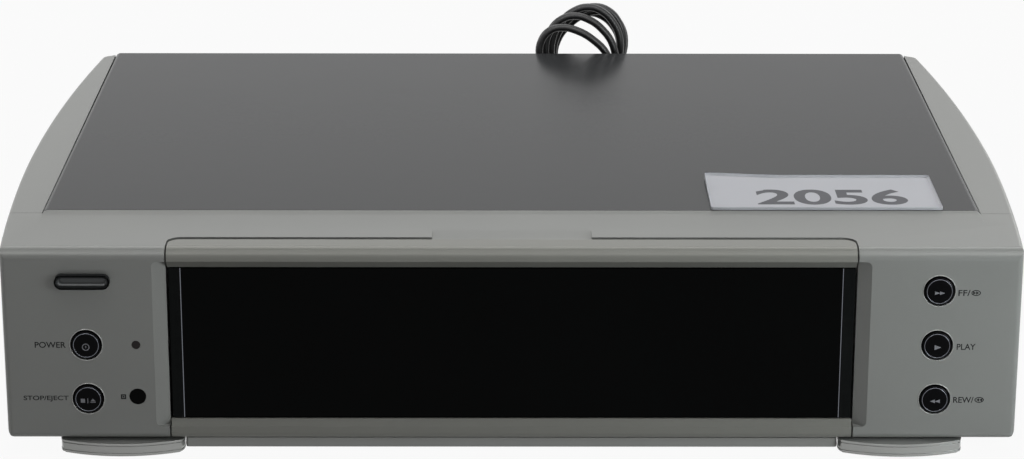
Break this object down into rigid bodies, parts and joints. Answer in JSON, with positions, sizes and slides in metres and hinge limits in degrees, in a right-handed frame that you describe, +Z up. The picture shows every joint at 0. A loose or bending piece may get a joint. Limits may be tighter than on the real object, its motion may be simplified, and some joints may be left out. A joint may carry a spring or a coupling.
{
  "type": "video cassette recorder",
  "caption": "Full-width video cassette recorder with a drop-down front door, curved silver cheeks, round push buttons, wide feet, a cassette deck inside and a mains lead.",
  "frame": {"origin": "on the surface the recorder stands on, under the middle of the recorder without its lead", "axes": "+X to the right as seen from the front, +Y to the back, +Z up"},
  "size_m": [0.441, 0.3737, 0.1162],
  "materials": {
    "cover_steel": "satin dark grey paint",
    "silver_plastic": "satin silver lacquer on a moulding",
    "chin_plastic": "satin light silver lacquer",
    "foot_plastic": "satin light silver lacquer with a bright rim",
    "window_gloss": "polished, near black, tinted",
    "button_gloss": "polished black dome",
    "lamp_lens": "dark red lens",
    "black_plastic": "fine grained moulding",
    "key_grey": "satin",
    "key_red": "satin",
    "zinc_steel": "zinc plated sheet",
    "rear_steel": "grey painted sheet",
    "socket_metal": "nickel plated",
    "gold_metal": "bright",
    "drum_aluminium": "fine turned",
    "white_plastic": "natural acetal",
    "roller_rubber": "ground",
    "cord_pvc": "soft black sheath",
    "board_green": "solder resist",
    "display_glass": "dark glass envelope",
    "winding": "varnished laminations"
  },
  "bodies": {
    "root": {"base_chassis": "zinc_steel", "top_cover": "cover_steel", "left_cheek": "silver_plastic", "right_cheek": "silver_plastic", "fascia": "silver_plastic", "chin": "chin_plastic", "inner_panel": "black_plastic", "standby_lamp": "lamp_lens", "remote_window": "window_gloss", "display_tube": "display_glass", "key_boards": "board_green", "front_sockets": "gold_metal", "rear_panel": "rear_steel", "scart_sockets": "black_plastic", "aerial_unit": "socket_metal", "phono_sockets": "gold_metal", "cord_gland": "cord_pvc", "mains_cord": "cord_pvc", "cord_hank": "cord_pvc", "cord_tie": "black_plastic", "plug_body": "cord_pvc", "plug_pins": "gold_metal", "deck_plate": "zinc_steel", "deck_posts": "socket_metal", "lower_drum": "drum_aluminium", "capstan_motor": "zinc_steel", "erase_head": "socket_metal", "audio_head": "socket_metal", "loading_motor": "zinc_steel", "carriage_frame": "zinc_steel", "main_board": "board_green", "power_supply": "winding", "front_feet": "foot_plastic", "rear_feet": "black_plastic", "screws": "socket_metal"},
    "door": {"door_frame": "silver_plastic", "door_window": "window_gloss"},
    "flap": {"cassette_flap": "black_plastic"},
    "power_button": {"power_button": "button_gloss"},
    "stop_eject_button": {"stop_eject_button": "button_gloss"},
    "fast_forward_button": {"fast_forward_button": "button_gloss"},
    "play_button": {"play_button": "button_gloss"},
    "rewind_button": {"rewind_button": "button_gloss"},
    "channel_down_key": {"channel_down_key": "key_grey"},
    "channel_up_key": {"channel_up_key": "key_grey"},
    "record_key": {"record_key": "key_red"},
    "pause_key": {"pause_key": "key_grey"},
    "slider": {"load_slider": "zinc_steel"},
    "holder": {"cassette_holder": "zinc_steel"},
    "upper_drum": {"upper_drum": "drum_aluminium"},
    "capstan": {"capstan": "socket_metal"},
    "pinch_arm": {"pinch_arm": "zinc_steel"},
    "pinch_roller": {"pinch_roller": "roller_rubber"},
    "supply_reel": {"supply_reel": "white_plastic"},
    "take_up_reel": {"take_up_reel": "white_plastic"},
    "cam_gear": {"cam_gear": "white_plastic"},
    "worm": {"worm": "white_plastic"},
    "supply_guide": {"supply_guide": "gold_metal"},
    "take_up_guide": {"take_up_guide": "gold_metal"},
    "idler_arm": {"idler_arm": "white_plastic"}
  },
  "joints": [
    {"name": "door_hinge", "type": "hinge", "parent": "root", "child": "door", "pos_m": [0, -0.15775, 0.0134], "axis": [1, 0, 0], "range_deg": [0, 90]},
    {"name": "flap_hinge", "type": "hinge", "parent": "root", "child": "flap", "pos_m": [0, -0.1429, 0.0874], "axis": [1, 0, 0], "range_deg": [0, 85]},
    {"name": "power_button_press", "type": "slide", "parent": "root", "child": "power_button", "axis": [0, 1, 0], "range_m": [0, 0.0008], "stiffness_N_per_m": 600},
    {"name": "stop_eject_button_press", "type": "slide", "parent": "root", "child": "stop_eject_button", "axis": [0, 1, 0], "range_m": [0, 0.0008], "stiffness_N_per_m": 600},
    {"name": "fast_forward_button_press", "type": "slide", "parent": "root", "child": "fast_forward_button", "axis": [0, 1, 0], "range_m": [0, 0.0008], "stiffness_N_per_m": 600},
    {"name": "play_button_press", "type": "slide", "parent": "root", "child": "play_button", "axis": [0, 1, 0], "range_m": [0, 0.0008], "stiffness_N_per_m": 600},
    {"name": "rewind_button_press", "type": "slide", "parent": "root", "child": "rewind_button", "axis": [0, 1, 0], "range_m": [0, 0.0008], "stiffness_N_per_m": 600},
    {"name": "channel_down_key_press", "type": "slide", "parent": "root", "child": "channel_down_key", "axis": [0, 1, 0], "range_m": [0, 0.0006], "stiffness_N_per_m": 600},
    {"name": "channel_up_key_press", "type": "slide", "parent": "root", "child": "channel_up_key", "axis": [0, 1, 0], "range_m": [0, 0.0006], "stiffness_N_per_m": 600},
    {"name": "record_key_press", "type": "slide", "parent": "root", "child": "record_key", "axis": [0, 1, 0], "range_m": [0, 0.0006], "stiffness_N_per_m": 600},
    {"name": "pause_key_press", "type": "slide", "parent": "root", "child": "pause_key", "axis": [0, 1, 0], "range_m": [0, 0.0006], "stiffness_N_per_m": 600},
    {"name": "carriage_slide", "type": "slide", "parent": "root", "child": "slider", "axis": [0, 1, 0], "range_m": [0, 0.05]},
    {"name": "holder_drop", "type": "slide", "parent": "slider", "child": "holder", "axis": [0, 0, -1], "range_m": [0, 0.019]},
    {"name": "drum_spin", "type": "hinge", "parent": "root", "child": "upper_drum", "pos_m": [0, 0.02285, 0.0392], "axis": [0, 0.1045, 0.9945], "continuous": true},
    {"name": "capstan_spin", "type": "hinge", "parent": "root", "child": "capstan", "pos_m": [0.062, -0.00315, 0.04], "axis": [0, 0, 1], "continuous": true},
    {"name": "pinch_arm_swing", "type": "hinge", "parent": "root", "child": "pinch_arm", "pos_m": [0.082, 0.01285, 0.045], "axis": [0, 0, -1], "range_deg": [0, 21]},
    {"name": "pinch_roller_spin", "type": "hinge", "parent": "pinch_arm", "child": "pinch_roller", "pos_m": [0.0776, -0.00515, 0.05], "axis": [0, 0, 1], "continuous": true},
    {"name": "supply_reel_spin", "type": "hinge", "parent": "root", "child": "supply_reel", "pos_m": [-0.04615, -0.07015, 0.042], "axis": [0, 0, 1], "continuous": true},
    {"name": "take_up_reel_spin", "type": "hinge", "parent": "root", "child": "take_up_reel", "pos_m": [0.04615, -0.07015, 0.042], "axis": [0, 0, 1], "continuous": true},
    {"name": "cam_gear_turn", "type": "hinge", "parent": "root", "child": "cam_gear", "pos_m": [-0.067, 0.04285, 0.0482], "axis": [0, 0, 1], "range_deg": [0, 270]},
    {"name": "worm_turn", "type": "hinge", "parent": "root", "child": "worm", "pos_m": [-0.067, 0.02155, 0.0482], "axis": [1, 0, 0], "range_deg": [0, 3250]},
    {"name": "supply_guide_slide", "type": "slide", "parent": "root", "child": "supply_guide", "axis": [-0.4399, 0.8981, 0], "range_m": [0, 0.0546]},
    {"name": "take_up_guide_slide", "type": "slide", "parent": "root", "child": "take_up_guide", "axis": [0.4399, 0.8981, 0], "range_m": [0, 0.0546]},
    {"name": "idler_swing", "type": "hinge", "parent": "root", "child": "idler_arm", "pos_m": [0, -0.09415, 0.042], "axis": [0, 0, 1], "range_deg": [-10, 10]}
  ],
  "couplings": [
    {"joint": "worm_turn", "follows": "cam_gear_turn", "ratio": 12},
    {"joint": "supply_guide_slide", "follows": "cam_gear_turn", "m_per_rad": 0.01157},
    {"joint": "take_up_guide_slide", "follows": "cam_gear_turn", "m_per_rad": 0.01157},
    {"joint": "pinch_arm_swing", "follows": "cam_gear_turn", "ratio": 0.0777}
  ]
}
